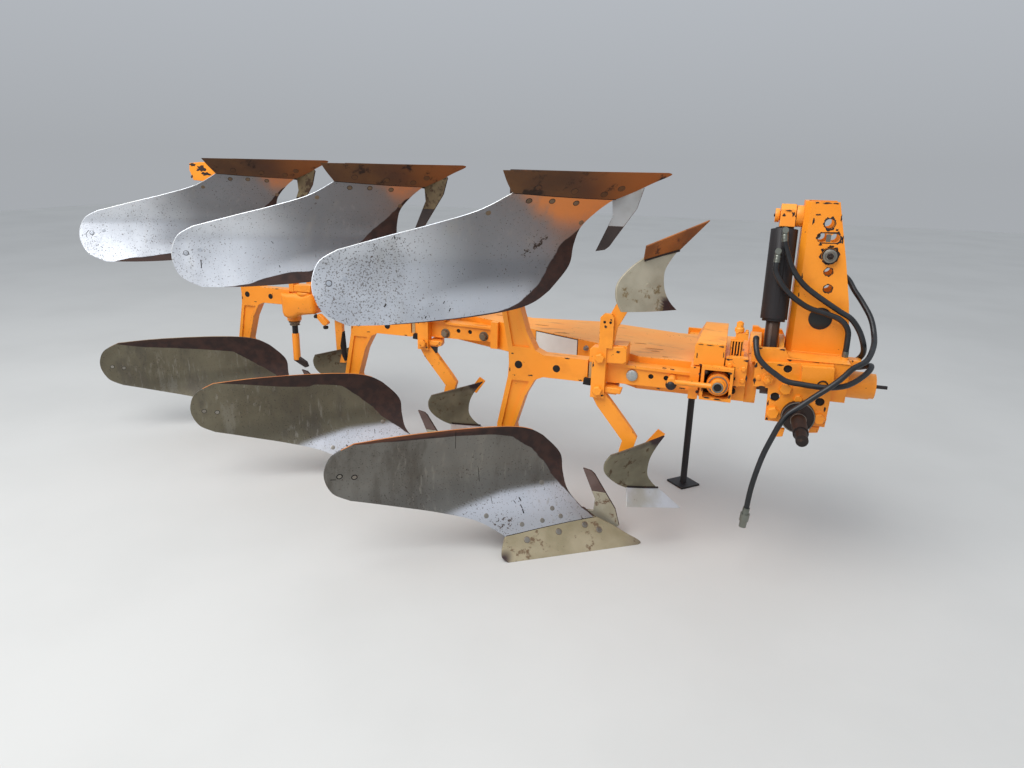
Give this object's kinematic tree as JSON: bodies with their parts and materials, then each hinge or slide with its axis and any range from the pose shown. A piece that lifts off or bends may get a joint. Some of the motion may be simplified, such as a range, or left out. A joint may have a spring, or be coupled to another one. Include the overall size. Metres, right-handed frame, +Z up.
{
  "type": "mounted reversible moldboard plough",
  "caption": "Orange tractor-mounted reversible moldboard plough with upper and lower bodies, turnover headstock and parking stand.",
  "frame": {"origin": "middle of the outline, on the ground", "axes": "+X along the travel towards the tractor, +Y to the left of travel, +Z up"},
  "size_m": [3.4202, 1.5406, 1.328],
  "materials": {
    "bare_steel": "dark greasy steel",
    "black_paint": "black paint",
    "board_steel": "polished by soil, rust specks",
    "frog_iron": "brown rust",
    "hose_rubber": "black hose",
    "orange_paint": "worn gloss orange",
    "rod_steel": "dark greased rod",
    "share_steel": "worn and rusty",
    "skimmer_steel": "weathered"
  },
  "bodies": {
    "headstock": {"tower": "orange_paint", "tower_base": "orange_paint", "hitch_plate_right": "orange_paint", "hitch_plate_left": "orange_paint", "hitch_shaft": "bare_steel", "shaft_housing": "orange_paint", "front_stud": "black_paint", "top_link_pin": "bare_steel", "cylinder_bracket": "orange_paint", "hose_upper": "hose_rubber", "hose_lower": "hose_rubber", "hose_supply": "hose_rubber", "hose_loop": "hose_rubber", "hose_elbows": "bare_steel", "hose_coupler": "bare_steel"},
    "frame": {"turnover_hub": "orange_paint", "head_block": "orange_paint", "valve_block": "orange_paint", "main_beam": "orange_paint", "adjusting_link": "orange_paint", "arm_1": "orange_paint", "arm_2": "orange_paint", "arm_3": "orange_paint", "rear_casting": "orange_paint", "rear_spindle": "bare_steel", "mouldboard_1_lower": "board_steel", "mouldboard_1_upper": "board_steel", "mouldboard_2_lower": "board_steel", "mouldboard_2_upper": "board_steel", "mouldboard_3_lower": "board_steel", "mouldboard_3_upper": "board_steel", "share_1_lower": "share_steel", "share_1_upper": "share_steel", "share_2_lower": "share_steel", "share_2_upper": "share_steel", "share_3_lower": "share_steel", "share_3_upper": "share_steel", "frog_1_lower": "frog_iron", "frog_1_upper": "frog_iron", "frog_2_lower": "frog_iron", "frog_2_upper": "frog_iron", "frog_3_lower": "frog_iron", "frog_3_upper": "frog_iron", "skimmer_1_lower": "skimmer_steel", "skimmer_1_upper": "skimmer_steel", "skimmer_2_lower": "skimmer_steel", "skimmer_2_upper": "skimmer_steel", "skimmer_3_lower": "skimmer_steel", "skimmer_3_upper": "skimmer_steel", "skimmer_stem_1": "orange_paint", "skimmer_stem_2": "orange_paint", "skimmer_stem_3": "orange_paint", "stand_bracket": "orange_paint"},
    "cylinder": {"cylinder_barrel": "black_paint", "cylinder_end": "orange_paint"},
    "rod": {"cylinder_rod": "rod_steel"},
    "stand": {"stand_leg": "black_paint"}
  },
  "joints": [
    {"name": "turnover", "type": "hinge", "parent": "headstock", "child": "frame", "pos_m": [1.26512, -0.10124, 0.664], "axis": [-1, 0, 0], "range_deg": [0, 180]},
    {"name": "cylinder_swing", "type": "hinge", "parent": "headstock", "child": "cylinder", "pos_m": [1.32512, -0.10124, 1.204], "axis": [1, 0, 0], "range_deg": [0, 24.05]},
    {"name": "rod_slide", "type": "slide", "parent": "cylinder", "child": "rod", "axis": [0, 0.2083, 0.9781], "range_m": [0, 0.1271]},
    {"name": "stand_fold", "type": "hinge", "parent": "frame", "child": "stand", "pos_m": [1.06812, 0.37276, 0.664], "axis": [0, 1, 0], "range_deg": [0, 90]}
  ],
  "couplings": [
    {"joint": "cylinder_swing", "follows": "turnover", "ratio": 0.13358}
  ]
}
